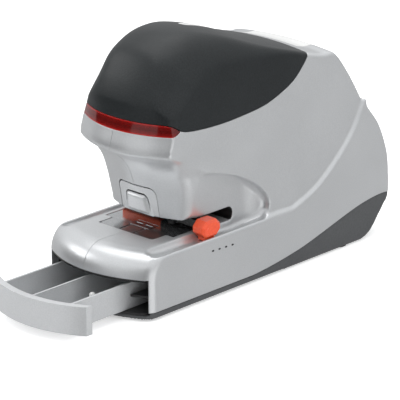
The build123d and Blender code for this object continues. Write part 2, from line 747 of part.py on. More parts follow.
def trigger_pin():
    return rod_x(50, 60, 1.5, 12.5, plate_x + 1)


def trigger_switch():
    case = block(12.5, 21.9, 55, 70, 66.6, 75)
    plunger = rod_z(16, 59.5, 1.1, 65.3, 66.6)
    return case + plunger


def circuit_board():
    top = board_z + board_t
    return block(-26, 26, 46, 134, board_z, top) + block(-20, 20, 28.7, 46, board_z, top)


def board_parts():
    """Capacitors, relay, controller and connectors on the circuit board."""
    base = board_z + board_t
    relay = block(-20, -5, 60, 79, base, base + 15)
    chip = block(6, 18, 58, 76, base, base + 2.5)
    big_cap = rod_z(-12, 98, 6.5, base, base + 20)
    caps = [rod_z(x, 98, 3.2, base, base + 11) for x in (2, 11, 20)]
    plugs = [block(x, x + 9, 120, 127, base, base + 8) for x in (-18, -2, 12)]
    return group(relay, chip, big_cap, *caps, *plugs)


def board_posts():
    return group(*[rod_z(x, y, 2.0, 100, board_z) for x in (-plate_x, plate_x) for y in (62, 122)])


def led_board():
    return block(-20, 20, 27.1, 28.7, 105.5, 117.5)


def indicator_leds():
    return group(*[rod_y(x, 111.6, 2.4, 23.6, 27.1) for x in (-13, 0, 13)])


def power_inlet():
    body = block(-28, -16, 207, 221.6, 33.5, 44.5)
    return body - rod_y(-22, 39, 3.0, 212.5, 230) + rod_y(-22, 39, 1.0, 212, 220)


# ---------------------------------------------------------------- export
def build_nodes():
    shell = body_shell()
    left, right = housings(shell)
    return {
        "left_housing": left,
        "right_housing": right,
        "top_cover": top_cover(shell),
        "cover_inlay": cover_inlay(shell),
        "indicator_lens": indicator_lens(shell),
        "rear_top_panel": rear_top_panel(shell),
        "base_tray": base_tray(),
        "rubber_feet": rubber_feet(),
        "base_screws": base_screws(),
        "drawer_bay": drawer_bay(),
        "drawer_tray": drawer_tray(),
        "drawer_front": drawer_front(),
        "strip_peg": strip_peg(),
        "anvil_plate": anvil_plate(),
        "anvil": anvil(),
        "anvil_support": anvil_support(),
        "depth_stop_bar": depth_stop_bar(),
        "depth_stop_knob": depth_stop_knob(),
        "magazine_front": magazine_front(),
        "release_button": release_button(),
        "magazine_channel": magazine_channel(),
        "magazine_core": magazine_core(),
        "staple_strip": staple_strip(),
        "staple_pusher": staple_pusher(),
        "pusher_rod": pusher_rod(),
        "pusher_spring": pusher_spring(),
        "left_side_plate": side_plate(-plate_x),
        "right_side_plate": side_plate(plate_x),
        "frame_spacers": frame_spacers(),
        "frame_screws": frame_screws(),
        "blade_guide": blade_guide(),
        "drive_cam": drive_cam(),
        "cam_shaft": cam_shaft(),
        "cam_gear": cam_gear(),
        "shaft_bushes": shaft_bushes(),
        "idler_gear": idler_gear(),
        "idler_axle": idler_axle(),
        "motor": motor(),
        "motor_shaft": motor_shaft(),
        "motor_pinion": motor_pinion(),
        "motor_ring": motor_ring(),
        "drive_arm": drive_arm(),
        "arm_pin": arm_pin(),
        "roller_pin": roller_pin(),
        "cam_roller": cam_roller(),
        "driver_blade": driver_blade(),
        "trigger_lever": trigger_lever(),
        "trigger_pin": trigger_pin(),
        "trigger_switch": trigger_switch(),
        "circuit_board": circuit_board(),
        "board_parts": board_parts(),
        "board_posts": board_posts(),
        "led_board": led_board(),
        "indicator_leds": indicator_leds(),
        "power_inlet": power_inlet(),
    }


def main():
    os.makedirs("parts", exist_ok=True)
    front_y = -front_bow - drawer_travel
    centring = Pos(0, -(front_y + rear_y) / 2, 0)
    for name, shape in build_nodes().items():
        export_step(centring * shape, f"parts/{name}.step")


main()
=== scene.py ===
import json
import math

import bpy
import numpy as np
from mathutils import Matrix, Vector

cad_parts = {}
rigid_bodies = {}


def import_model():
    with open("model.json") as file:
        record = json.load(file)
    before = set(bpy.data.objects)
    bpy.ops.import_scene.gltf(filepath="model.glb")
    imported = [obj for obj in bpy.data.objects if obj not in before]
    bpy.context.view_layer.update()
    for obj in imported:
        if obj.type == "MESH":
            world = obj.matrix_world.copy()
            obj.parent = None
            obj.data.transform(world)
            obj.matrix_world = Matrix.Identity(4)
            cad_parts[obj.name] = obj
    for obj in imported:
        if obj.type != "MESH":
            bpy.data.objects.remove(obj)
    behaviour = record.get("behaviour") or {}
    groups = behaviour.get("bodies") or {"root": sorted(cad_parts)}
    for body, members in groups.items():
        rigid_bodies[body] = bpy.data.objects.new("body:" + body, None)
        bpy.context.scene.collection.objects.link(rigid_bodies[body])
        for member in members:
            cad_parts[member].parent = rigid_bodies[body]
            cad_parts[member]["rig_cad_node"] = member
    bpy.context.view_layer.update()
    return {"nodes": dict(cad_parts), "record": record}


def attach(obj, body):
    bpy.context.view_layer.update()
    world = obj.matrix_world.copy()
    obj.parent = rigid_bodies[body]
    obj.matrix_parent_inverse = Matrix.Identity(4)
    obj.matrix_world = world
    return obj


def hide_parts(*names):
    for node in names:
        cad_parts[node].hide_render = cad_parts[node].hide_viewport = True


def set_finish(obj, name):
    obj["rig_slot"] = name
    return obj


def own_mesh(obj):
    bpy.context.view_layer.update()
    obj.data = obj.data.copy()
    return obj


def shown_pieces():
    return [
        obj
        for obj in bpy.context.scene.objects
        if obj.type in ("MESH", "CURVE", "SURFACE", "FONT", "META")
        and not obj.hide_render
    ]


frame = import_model()
S = 0.001                       # drawing below is in millimetres
Y_SHIFT = -80.75                # the front corners of the skirt are this far along row Y


# ---------------------------------------------------------------- mesh from functions
def smoothstep(t):
    t = np.clip(t, 0.0, 1.0)
    return t * t * (3 - 2 * t)


def rmax(a, b, r):
    """Intersection of two fields with a rounding of radius r."""
    rounding = np.sqrt(np.maximum(a + r, 0) ** 2 + np.maximum(b + r, 0) ** 2)
    return np.minimum(np.maximum(a, b), -r) + rounding


def rmin(a, b, r):
    """Union of two fields with a rounding of radius r."""
    return -rmax(-a, -b, r)


def curve(points, per_span=24):
    """Catmull-Rom samples through points."""
    p = np.array(points, float)
    ends = np.vstack([2 * p[0] - p[1], p, 2 * p[-1] - p[-2]])
    out = []
    for i in range(1, len(ends) - 2):
        p0, p1, p2, p3 = ends[i - 1:i + 3]
        t = np.linspace(0, 1, per_span, endpoint=False)[:, None]
        out.append(0.5 * (2 * p1 + (p2 - p0) * t + (2 * p0 - 5 * p1 + 4 * p2 - p3) * t ** 2
                          + (3 * p1 - p0 - 3 * p2 + p3) * t ** 3))
    out.append(p[-1:])
    return np.vstack(out)


def running_mean(values, reach, ends):
    """Average of each value and its neighbours up to reach on both sides."""
    count = 2 * reach + 1
    return np.convolve(np.pad(values, reach, mode=ends), np.ones(count) / count, mode="valid")


def height_of(points):
    """Function of one variable through points, from a dense table, with its slope's cosine."""
    c = curve(points)
    xs = np.linspace(c[0, 0], c[-1, 0], 1500)
    hs = np.interp(xs, c[:, 0], c[:, 1])
    hs = running_mean(hs, 12, "edge")
    slope = np.gradient(hs, xs)
    cosine = 1 / np.sqrt(1 + slope ** 2)
    return lambda v: (np.interp(v, xs, hs), np.interp(v, xs, cosine))


def ring(points, centre, smooth=9):
    """Field of a closed outline that is star-shaped about its centre: near to the signed distance."""
    c = curve(list(points) + [points[0]], 40)
    a = np.arctan2(c[:, 1] - centre[1], c[:, 0] - centre[0])
    r = np.hypot(c[:, 0] - centre[0], c[:, 1] - centre[1])
    order = np.argsort(a)
    a, r = a[order], r[order]
    table = np.linspace(-math.pi, math.pi, 2881)
    rs = np.interp(table, a, r, period=2 * math.pi)[:-1]
    rs = running_mean(rs, smooth, "wrap")
    rs = np.append(rs, rs[0])
    slope = np.gradient(rs, table) / rs
    cosine = 1 / np.sqrt(1 + slope ** 2)

    def field(u, v):
        du, dv = u - centre[0], v - centre[1]
        angle = np.arctan2(dv, du)
        return (np.hypot(du, dv) - np.interp(angle, table, rs)) * np.interp(angle, table, cosine)
    return field


def box_field(x, y, z, x0, x1, y0, y1, z0, z1):
    dx = np.abs(x - (x0 + x1) / 2) - (x1 - x0) / 2
    dy = np.abs(y - (y0 + y1) / 2) - (y1 - y0) / 2
    dz = np.abs(z - (z0 + z1) / 2) - (z1 - z0) / 2
    return np.maximum(np.maximum(dx, dy), dz)


CORNERS = np.array([(i, j, k) for i in (0, 1) for j in (0, 1) for k in (0, 1)])
EDGES = [(a, b) for a in range(8) for b in range(a + 1, 8)
         if np.abs(CORNERS[a] - CORNERS[b]).sum() == 1]
PROBE = 0.02                    # half the distance over which a field's slope is taken
SETTLE_ROUNDS = 5               # moves of each vertex on to the surface
LONGEST_MOVE = 0.7              # share of a cell that a vertex may move in one round
FARTHEST = 0.95                 # share of a cell that a vertex may end from its cell's centre


def net(name, fields, lo, hi, step):
    """Closed mesh of the space where every field is negative. Vertices sit on the surface, and where
    two or three fields meet they sit on the shared edge or corner, so part lines stay crisp."""
    axes = [np.arange(lo[d], hi[d] + step, step) for d in range(3)]
    shape = tuple(len(a) for a in axes)
    x, y, z = np.meshgrid(*axes, indexing="ij", sparse=True)
    full = [np.broadcast_to(f(x, y, z), shape).astype(np.float32) for f in fields]
    stack = np.stack(full)
    total = stack.max(0)
    inside = total < 0
    cell = np.zeros(tuple(s - 1 for s in shape), np.int8)
    for c in CORNERS:
        cell += inside[c[0]:shape[0] - 1 + c[0], c[1]:shape[1] - 1 + c[1], c[2]:shape[2] - 1 + c[2]]
    live = np.argwhere((cell > 0) & (cell < 8))
    n = len(live)
    values = np.stack([stack[:, live[:, 0] + c[0], live[:, 1] + c[1], live[:, 2] + c[2]]
                       for c in CORNERS])
    whole = values.max(1)
    spot = np.zeros((n, 3))
    count = np.zeros(n)
    mask = np.zeros((n, len(fields)), bool)
    for a, b in EDGES:
        va, vb = whole[a], whole[b]
        cross = (va < 0) != (vb < 0)
        t = np.where(cross, va / np.where(cross, va - vb, 1), 0)
        mix = values[a] * (1 - t) + values[b] * t
        top = mix.argmax(0)
        rows = np.nonzero(cross)[0]
        mask[rows, top[rows]] = True
        spot[rows] += (CORNERS[a] + (CORNERS[b] - CORNERS[a]) * t[rows, None])
        count[rows] += 1
    centre = np.array(lo) + (live + 0.5) * step
    points = np.array(lo) + (live + spot / count[:, None]) * step
    for _ in range(SETTLE_ROUNDS):
        f = np.stack([np.broadcast_to(g(*points.T), n) for g in fields], 1)
        grad = np.zeros((n, len(fields), 3))
        for d in range(3):
            shift = np.zeros(3)
            shift[d] = PROBE
            for i, g in enumerate(fields):
                rows = np.nonzero(mask[:, i])[0]
                if len(rows):
                    ahead, behind = g(*(points[rows] + shift).T), g(*(points[rows] - shift).T)
                    grad[rows, i, d] = (ahead - behind) / (2 * PROBE)
        f = np.where(mask, f, 0)
        single = mask.sum(1) == 1
        which = mask.argmax(1)
        g1 = grad[np.arange(n), which]
        f1 = f[np.arange(n), which]
        move = -g1 * (f1 / np.maximum((g1 ** 2).sum(1), 1e-6))[:, None]
        many = np.nonzero(~single)[0]
        if len(many):
            j = grad[many]
            a = j @ j.transpose(0, 2, 1) + np.eye(len(fields)) * 1e-3
            for i in range(len(fields)):
                a[:, i, i] += np.where(mask[many, i], 0, 1)
            solved = np.linalg.solve(a, f[many][:, :, None])
            move[many] = -(j.transpose(0, 2, 1) @ solved)[:, :, 0]
        far = np.linalg.norm(move, axis=1)
        move *= np.minimum(1, LONGEST_MOVE * step / np.maximum(far, 1e-9))[:, None]
        points = points + move
        points = centre + np.clip(points - centre, -FARTHEST * step, FARTHEST * step)
    index = np.full(cell.shape, -1, np.int64)
    index[tuple(live.T)] = np.arange(n)
    quads = []
    for d in range(3):
        e, g = [(1, 2), (2, 0), (0, 1)][d]
        a = [slice(None)] * 3
        b = [slice(None)] * 3
        a[d], b[d] = slice(0, -1), slice(1, None)
        change = inside[tuple(a)] != inside[tuple(b)]
        place = np.argwhere(change)
        ok = ((place[:, e] > 0) & (place[:, g] > 0)
              & (place[:, e] < shape[e] - 1) & (place[:, g] < shape[g] - 1))
        place = place[ok]
        out = inside[tuple(place.T)]
        loop = []
        for de, dg in ((-1, -1), (0, -1), (0, 0), (-1, 0)):
            q = place.copy()
            q[:, e] += de
            q[:, g] += dg
            loop.append(index[tuple(q.T)])
        loop = np.stack(loop, 1)
        loop[~out] = loop[~out][:, ::-1]
        quads.append(loop)
    quads = np.vstack(quads)
    quads = quads[(quads >= 0).all(1)]
    verts = points * S + np.array([0, Y_SHIFT * S, 0])
    return mesh_object(name, verts, quads)


SHARP_DEGREES = 32              # edges bent more than this are shaded as creases


def mesh_object(name, verts, faces):
    """Linked object with smooth faces, from an array of quads or a list of faces."""
    mesh = bpy.data.meshes.new(name)
    if isinstance(faces, np.ndarray):
        mesh.vertices.add(len(verts))
        mesh.vertices.foreach_set("co", np.asarray(verts, np.float32).ravel())
        mesh.loops.add(faces.size)
        mesh.loops.foreach_set("vertex_index", faces.astype(np.int32).ravel())
        mesh.polygons.add(len(faces))
        starts = np.arange(0, faces.size, faces.shape[1], dtype=np.int32)
        mesh.polygons.foreach_set("loop_start", starts)
        mesh.update(calc_edges=True)
    else:
        mesh.from_pydata([tuple(v) for v in verts], [], faces)
    mesh.validate()
    mesh.polygons.foreach_set("use_smooth", np.ones(len(mesh.polygons), bool))
    mesh.set_sharp_from_angle(angle=math.radians(SHARP_DEGREES))
    obj = bpy.data.objects.new(name, mesh)
    bpy.context.scene.collection.objects.link(obj)
    return obj


# ---------------------------------------------------------------- body form
# Top and back of the head, seen from the side as (y, z). The points below z 27 close the loop.
bonnet = ring([(225.2, 27), (223.6, 43.3), (219.4, 57.8), (211.6, 75.4), (201.2, 88.4), (197.2, 94.0),
               (185.4, 113.2), (170.4, 134.9), (156.4, 138.0), (142.6, 141.6), (124, 147.3),
               (105.9, 153.2), (88, 158.9), (74.8, 161.9), (62, 163.4), (49.5, 162.6), (39, 158.8),
               (29.6, 152.2), (22.6, 141), (17.2, 128), (13.8, 115), (9.6, 100), (6, 80), (4, 50),
               (30, 0), (120, -30), (200, -20)], (110, 60))
# Front of the nose, neck and chin: y at each height z.
chin = height_of([(40, 34.0), (50, 33.6), (62, 31.5), (70, 29.8), (78, 27.0), (84, 23.6), (89, 19.2),
                  (92.5, 14.6), (95.2, 10.6), (96.8, 9.7), (100, 10.0), (104, 11.4), (108, 12.8),
                  (114, 14.6), (120, 15.6), (128, 14.0), (140, 0), (160, -30), (180, -50)])
# Half width of the upper shell at each y.
width_at = height_of([(-30, 37.0), (10, 37.5), (22.4, 38.7), (35, 39.8), (52, 41.0), (90, 43.0),
                      (130, 44.0), (150, 44.0), (240, 44.0)])
# Part lines on the side, as z at each y: side crease, base, lens and cover.
crease = height_of([(0, 34), (41.8, 29.8), (68.4, 28.4), (89.5, 28.6), (111.5, 33.7), (131, 39.8),
                    (151, 47.8), (170.9, 62.6), (184.2, 76.3), (193.4, 91), (203, 108), (230, 160)])
base_line = height_of([(-40, 5.2), (70, 5.2), (92.6, 5.4), (116, 8.0), (137.7, 11.9), (159.7, 17.5),
                       (176.5, 22), (193.4, 25.9), (210.5, 27.9), (222, 27.2), (240, 24)])
lens_line = height_of([(0, 108.4), (18, 108.4), (24.5, 108.5), (28, 109.3), (31, 111.0),
                       (33.5, 113.4), (40, 120), (180, 250)])
cap_line = height_of([(0, 115.5), (20, 115.5), (24, 115.3), (27, 114.2), (31, 111.5), (35.5, 110.0),
                      (46, 109.1), (64.3, 108.8), (83, 109.8), (101.9, 111.8), (115.9, 115.8),
                      (128.8, 122), (137.7, 130), (142, 135.5), (150, 149), (165, 175)])
# Outline of the recess in each side, as (y, z).
scoop = ring([(5.0, 40.5), (8, 38.2), (16, 37.3), (40, 37.0), (64, 36.4), (80.3, 35.6), (96.6, 37.4),
              (103.8, 40.6), (106.8, 46), (104.6, 53.5), (94.8, 63), (78.5, 72), (61.6, 77.6),
              (42.8, 81.4), (25, 83), (5, 84)], (60, 52), 12)


DOME_LEAN, DOME_CROWN, DOME_CORNER = 7.0, 7.0, 14.0
SKIRT_BOW = 13.9                # how far the skirt's front stands out at its middle
SKIRT_HALF = 43.9
PLATFORM_Z = 41.5
THROAT_TOP_Z, THROAT_BACK_Y = 50.0, 82.0


def dome_part(y):
    """1 over the domed front, 0 over the crisp-edged rear."""
    return 1 - smoothstep((y - 50) / 85)


def sides(ax, y, z):
    """Side walls: wider towards the back, tapering upwards, set in above the crease."""
    half, _ = width_at(y)
    lean = np.clip((z - 104) / 46, 0, 1.5)
    taper = 1.5 * smoothstep((z - 60) / 110) + DOME_LEAN * lean ** 1.5 * dome_part(y)
    return ax - half + taper


def step_in(y, z):
    """How far the upper shell is set in from the lower one."""
    line, cosine = crease(y)
    depth = 2.2 * smoothstep((y - 45) / 75)
    return depth * smoothstep(((z - line) * cosine + 0.2) / 3.0)


def form(x, y, z):
    """Outer skin of the whole machine: negative inside."""
    ax = np.abs(x)
    inset = step_in(y, z)
    side = sides(ax, y, z) + inset
    plan_bow = SKIRT_BOW * (ax / 44) ** 2
    low = rmax(-(y - plan_bow + SKIRT_BOW), z - PLATFORM_Z, 16.0)
    low_side = ax - SKIRT_HALF
    rear = y - 224.9 + 1.6 * (ax / 35) ** 2
    dome = smoothstep((z - 104) / 34)
    head_bow = (11.3 * (1 - dome) + 8.6 * dome) * (ax / 36.8) ** (2.0 + 0.9 * dome)
    hy = y - head_bow * smoothstep((110 - y) / 60)
    crown = (2.4 + DOME_CROWN * dome_part(y)) * (ax / 38) ** 2 * smoothstep((z - 110) / 25)
    top = bonnet(hy, z + crown) + inset
    front, cosine = chin(z)
    face = (front - (y - head_bow)) * cosine
    head = rmax(top, face, 1.2)
    neck_in = smoothstep((97 - z) / 18) * smoothstep((62 - y) / 34)
    head_side = side + 4.2 * neck_in
    soft = 2.0 + DOME_CORNER * dome_part(y)
    corner = 0.6 + soft * smoothstep((z - 106) / 34) + 4.2 * smoothstep((97 - z) / 8)
    head = rmax(head, head_side, corner)
    gap = rmin(THROAT_TOP_Z - z, THROAT_BACK_Y - y, 3.5)
    head = rmax(head, gap, 1.0)
    low = rmax(low, low_side, 4.5)
    low = np.maximum(low, z - PLATFORM_Z)
    blend = 3.0 * smoothstep((39 - ax) / 3) * smoothstep((y - 74) / 4) * smoothstep((90 - y) / 4)
    whole = rmin(head, low, 0.01 + blend)
    whole = rmax(whole, rear, 5.0)
    higher = 4.2 * smoothstep((z - 50) / 30) * smoothstep((78 - y) / 30)
    wall = 33.0 + 3.6 * smoothstep((y - 87) / 18) + higher
    cut = rmax(scoop(y, z), wall - ax, 4.0)
    ridge = np.maximum(41.6 - ax, z - 39.6)
    cut = rmax(cut, -ridge, 0.8)
    lip = 1.3 + 3.8 * smoothstep((54 - y) / 10) * smoothstep((z - 44) / 4)
    return rmax(whole, -cut, lip)


# ---------------------------------------------------------------- part lines and mouldings
WALL = 3.2                      # thickness of the shells as drawn
SEAM = 0.15                     # half the gap between two shells
MOUTH_HALF, MOUTH_TOP = 41.9, 26.3      # drawer mouth, shared by skirt and base


def inner(x, y, z):
    """Negative outside the shell's inner face."""
    return -(form(x, y, z) + WALL)


def above_base(x, y, z):
    """Negative above the base's upper edge."""
    line, cosine = base_line(y)
    return (line + SEAM - z) * cosine + 0 * x


def cap_edge(x, y, z):
    """Negative above the cover's lower edge."""
    line, cosine = cap_line(y)
    return (line - z) * cosine + 0 * x


def below_cap(x, y, z):
    """Negative where the housings are, clear of the cover."""
    return SEAM - cap_edge(x, y, z)


def above_cap(x, y, z):
    """Negative where the cover is, clear of the housings."""
    return cap_edge(x, y, z) + SEAM


def lens_band(x, y, z):
    """Negative in the strip between chin and cover, which narrows to a point on each side."""
    low, cosine = lens_line(y)
    return np.maximum(2 * SEAM - cap_edge(x, y, z), (low - z) * cosine)


def cut_lens(x, y, z):
    """Negative outside the lens, with its gap."""
    return SEAM - lens_band(x, y, z)


def base_shell(x, y, z):
    """Dark tray below the housings: flat underside that sweeps up in a straight ramp under the tail."""
    line, cosine = base_line(y)
    ramp = ((y - 204.5) * 0.764 - (z - 6.3) * 0.645)
    under = rmax(1.2 - z, ramp, 6.0)
    solid = np.maximum(np.maximum(form(x, y, z) + 0.35, (z - line + SEAM) * cosine), under)
    room = np.maximum(np.maximum(form(x, y, z) + 3.3, 3.5 - z), ramp + 2.6)
    room = np.minimum(room, box_field(x, y, z, -MOUTH_HALF, MOUTH_HALF, -25, 84.1, 3.5, MOUTH_TOP))
    feet = np.minimum(np.hypot(np.abs(x) - 34, y - 10), np.hypot(np.abs(x) - 36.5, y - 178)) - 6.15
    posts = np.minimum(np.hypot(np.abs(x) - 36, y - 113), np.hypot(np.abs(x) - 36, y - 160))
    boss = np.maximum(np.maximum(posts - 4.5, z - 3.9), 1.4 - z)
    tray = np.minimum(np.maximum(solid, -room), boss)
    holes = np.minimum(np.maximum(feet, z - 2.05), np.maximum(posts - 3.2, z - 2.6))
    return np.maximum(tray, -np.minimum(holes, posts - 1.7))


def panel_zone(x, y, z):
    """Panel behind the cover."""
    ax = np.abs(x)
    return np.maximum(np.maximum(ax - 24.0, 150.4 - y), np.maximum(y - 168.2, 100 - z))


def inlay_zone(x, y, z):
    """Blank inlay on the cover's top, long with round ends."""
    dy = np.maximum(np.abs(y - 81.0) - 7.0, 0)
    return np.maximum(np.hypot(x, dy) - 3.5, 140 - z)


def door_zone(x, z):
    """Front of the magazine, drawn as (x, z), with rounded top corners."""
    return np.maximum(rmax(np.abs(x) - 15.7, z - 68.8, 4.5), 50.4 - z)


def pad_zone(x, z):
    """Press pad, which narrows upwards."""
    return np.maximum(rmax((np.abs(x) - 10.0 + (z - 50.9) * 0.15) * 0.99, z - 63.4, 2.2), 50.9 - z)


def magazine_panel(x, y, z):
    """Front of the magazine with a hole for the pad, and the cheeks behind it."""
    panel = np.maximum(np.maximum(form(x, y, z) + 0.1, -(form(x, y, z) + 2.6)), door_zone(x, z))
    panel = np.maximum(panel, np.maximum(-(pad_zone(x, z) - 1.0), y - 42))
    cheeks = box_field(x, y, z, -12.5, 12.5, 34, 40, 50.5, 61.0)
    cheeks = np.maximum(cheeks, -box_field(x, y, z, -6.8, 6.8, 37.1, 45, 40, 80))
    return np.minimum(panel, cheeks)


def openings(x, y, z):
    """Drawer mouth, magazine door, plate pocket, blade and lever slots, and the inlet's window."""
    mouth = box_field(x, y, z, -MOUTH_HALF, MOUTH_HALF, -25, 9, -5, MOUTH_TOP)
    door = np.maximum(door_zone(x, z - 0.4) - 0.45, box_field(x, y, z, -18, 18, 15, 43, 49, 75))
    slot = box_field(x, y, z, -9.4, 9.4, 30, 82, 45, 64)
    lever = box_field(x, y, z, 13.2, 18.8, 44, 53, 48, 56)
    pocket = np.minimum(box_field(x, y, z, -23.2, 23.2, 21.8, 62.2, 39.9, 43),
                        box_field(x, y, z, -29.2, 29.2, 33.8, 62.2, 39.9, 43))
    anvil = box_field(x, y, z, -9.2, 9.2, 33.2, 42.8, 30, 43)
    inlet = box_field(x, y, z, -28.3, -15.7, 212, 235, 33.2, 44.8)
    every = np.minimum(np.minimum(np.minimum(mouth, door), np.minimum(slot, lever)),
                       np.minimum(np.minimum(pocket, anvil), inlet))
    return -every


shell = [form, inner]
outside_panels = [below_cap, cut_lens, lambda x, y, z: SEAM - panel_zone(x, y, z)]
right_housing = net("housing_right", shell + outside_panels + [above_base, openings,
                    lambda x, y, z: 0.1 - x + 0 * y + 0 * z], (-1.5, -18, 1), (46, 230, 172), 1.25)
left_housing = net("housing_left", shell + outside_panels + [above_base, openings,
                   lambda x, y, z: 0.1 + x + 0 * y + 0 * z], (-46, -18, 1), (1.5, 230, 172), 1.25)
cover = net("dome_cover", shell + [above_cap, cut_lens, lambda x, y, z: 0.12 - inlay_zone(x, y, z)],
            (-46, 8, 104), (46, 156, 172), 1.1)
lens = net("lens_strip", [lambda x, y, z: form(x, y, z) + 0.15,
                          lambda x, y, z: -(form(x, y, z) + 3.0), lens_band],
           (-44, 8, 104), (44, 36, 119), 0.6)
panel = net("rear_panel", shell + [panel_zone], (-27, 147, 125), (27, 172, 145), 0.9)
inlay = net("cover_badge", [lambda x, y, z: form(x, y, z) - 0.1, inner, inlay_zone],
            (-6, 66, 150), (6, 94, 170), 0.7)
tray = net("lower_base", [base_shell], (-46, -18, 0), (46, 230, 31), 1.0)
door_front = net("magazine_face", [magazine_panel], (-18, 20, 49), (18, 44, 71), 0.5)
pad = net("release_pad", [lambda x, y, z: form(x, y, z) - 1.3 * smoothstep(-pad_zone(x, z) / 2.2),
                          lambda x, y, z: -(form(x, y, z) + 0.9), lambda x, y, z: pad_zone(x, z) + 0 * y,
                          lambda x, y, z: y - 42 + 0 * x + 0 * z], (-12, 20, 49), (12, 44, 66), 0.5)
for piece, node, body, slot in ((door_front, "magazine_front", "magazine", "magazine_silver"),
                                (pad, "release_button", "release", "magazine_silver")):
    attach(piece, body)
    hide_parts(node)
    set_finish(piece, slot)
for piece, node, slot in ((right_housing, "right_housing", "silver_paint"),
                          (left_housing, "left_housing", "silver_paint"),
                          (cover, "top_cover", "dark_cover"), (lens, "indicator_lens", "red_lens"),
                          (panel, "rear_top_panel", "pale_plastic"), (tray, "base_tray", "dark_base"),
                          (inlay, "cover_inlay", "pale_plastic")):
    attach(piece, "chassis")
    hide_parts(node)
    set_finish(piece, slot)


def coil(name, y0, y1, z, radius, wire, turns):
    """Compression spring along Y, drawn in millimetres."""
    across, steps = 8, int(turns * 20)
    points, faces = [], []
    for i in range(steps + 1):
        t = i / steps
        a = 2 * math.pi * turns * t
        centre = np.array([radius * math.cos(a), y0 + (y1 - y0) * t, z + radius * math.sin(a)])
        out = np.array([math.cos(a), 0, math.sin(a)])
        for k in range(across):
            b = 2 * math.pi * k / across
            at = centre + wire * (math.cos(b) * out + math.sin(b) * np.array([0, 1, 0]))
            points.append((at[0] * S, (at[1] + Y_SHIFT) * S, at[2] * S))
    for i in range(steps):
        for k in range(across):
            n = (k + 1) % across
            faces.append((i * across + k, i * across + n,
                          (i + 1) * across + n, (i + 1) * across + k))
    faces.append(tuple(range(across))[::-1])
    faces.append(tuple(steps * across + k for k in range(across)))
    return mesh_object(name, points, faces)


def side_marks(name, x, centres, long_r, short_r):
    """Row of small oval marks on the right side, each a shallow dished button."""
    around = 16
    points, faces = [], []
    for y, z in centres:
        first = len(points)
        for out, share in ((-0.5, 1.0), (0.10, 1.0), (0.22, 0.82), (0.16, 0.45)):
            for k in range(around):
                a = 2 * math.pi * k / around
                points.append(((x + out) * S, (y + long_r * share * math.cos(a) + Y_SHIFT) * S,
                               (z + short_r * share * math.sin(a)) * S))
        for r in range(3):
            for k in range(around):
                n = (k + 1) % around
                a, b = first + r * around, first + (r + 1) * around
                faces.append((a + k, a + n, b + n, b + k))
        faces.append(tuple(first + k for k in range(around))[::-1])
        faces.append(tuple(first + 3 * around + k for k in range(around)))
    return mesh_object(name, points, faces)


marks = side_marks("side_marks", SKIRT_HALF, [(53.4, 31.2), (59.2, 31.0), (65.0, 30.8), (70.8, 30.6)],
                   1.0, 0.6)
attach(marks, "chassis")
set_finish(marks, "black_plastic")
spring = coil("spring_coil", 80.7, 109.7, 55.1, 2.1, 0.3, 11.4)
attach(spring, "magazine")
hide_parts("pusher_spring")
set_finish(spring, "spring_steel")
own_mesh(spring)


# ---------------------------------------------------------------- materials
def material(name, colour, rough=0.5, metal=0.0, **sockets):
    """Principled material with its nodes, links and shader. A socket's spaces are written as _."""
    mat = bpy.data.materials.new(name)
    mat.use_nodes = True
    nodes, links = mat.node_tree.nodes, mat.node_tree.links
    shader = nodes["Principled BSDF"]
    shader.inputs["Base Color"].default_value = (*colour, 1)
    shader.inputs["Roughness"].default_value = rough
    shader.inputs["Metallic"].default_value = metal
    for socket, value in sockets.items():
        shader.inputs[socket.replace("_", " ")].default_value = value
    return mat, nodes, links, shader


BROAD_SCALE = 30.0              # size of the broad variation that every material has


def grain(name, dark, light, rough, scale=900.0, bump=0.05, metal=0.0, spread=0.06, edge=0.0004,
          stretch=(1, 1, 1), dent=0.0002, **sockets):
    """Moulded or painted surface: two scales of variation in colour, one in roughness, with a fine
    bump and softened edges."""
    mat, nodes, links, shader = material(name, dark, rough, metal, **sockets)
    place = nodes.new("ShaderNodeTexCoord")
    mapping = nodes.new("ShaderNodeMapping")
    mapping.inputs["Scale"].default_value = stretch
    links.new(place.outputs["Object"], mapping.inputs["Vector"])
    fine = nodes.new("ShaderNodeTexNoise")
    fine.inputs["Scale"].default_value = scale
    fine.inputs["Detail"].default_value = 3
    broad = nodes.new("ShaderNodeTexNoise")
    broad.inputs["Scale"].default_value = BROAD_SCALE
    broad.inputs["Detail"].default_value = 4
    for node in (fine, broad):
        links.new(mapping.outputs["Vector"], node.inputs["Vector"])
    mixed = nodes.new("ShaderNodeMix")
    mixed.data_type = "FLOAT"
    mixed.inputs[0].default_value = 0.35
    links.new(fine.outputs["Fac"], mixed.inputs[2])
    links.new(broad.outputs["Fac"], mixed.inputs[3])
    ramp = nodes.new("ShaderNodeValToRGB")
    ramp.color_ramp.elements[0].position = 0.32
    ramp.color_ramp.elements[0].color = (*dark, 1)
    ramp.color_ramp.elements[1].position = 0.68
    ramp.color_ramp.elements[1].color = (*light, 1)
    links.new(mixed.outputs[0], ramp.inputs["Fac"])
    links.new(ramp.outputs["Color"], shader.inputs["Base Color"])
    span = nodes.new("ShaderNodeMapRange")
    span.inputs["To Min"].default_value = max(0.02, rough - spread)
    span.inputs["To Max"].default_value = min(1.0, rough + spread)
    links.new(broad.outputs["Fac"], span.inputs["Value"])
    links.new(span.outputs["Result"], shader.inputs["Roughness"])
    soft = nodes.new("ShaderNodeBevel")
    soft.samples = 6
    soft.inputs["Radius"].default_value = edge
    rise = nodes.new("ShaderNodeBump")
    rise.inputs["Strength"].default_value = bump
    rise.inputs["Distance"].default_value = dent
    links.new(fine.outputs["Fac"], rise.inputs["Height"])
    links.new(soft.outputs["Normal"], rise.inputs["Normal"])
    links.new(rise.outputs["Normal"], shader.inputs["Normal"])
    return mat


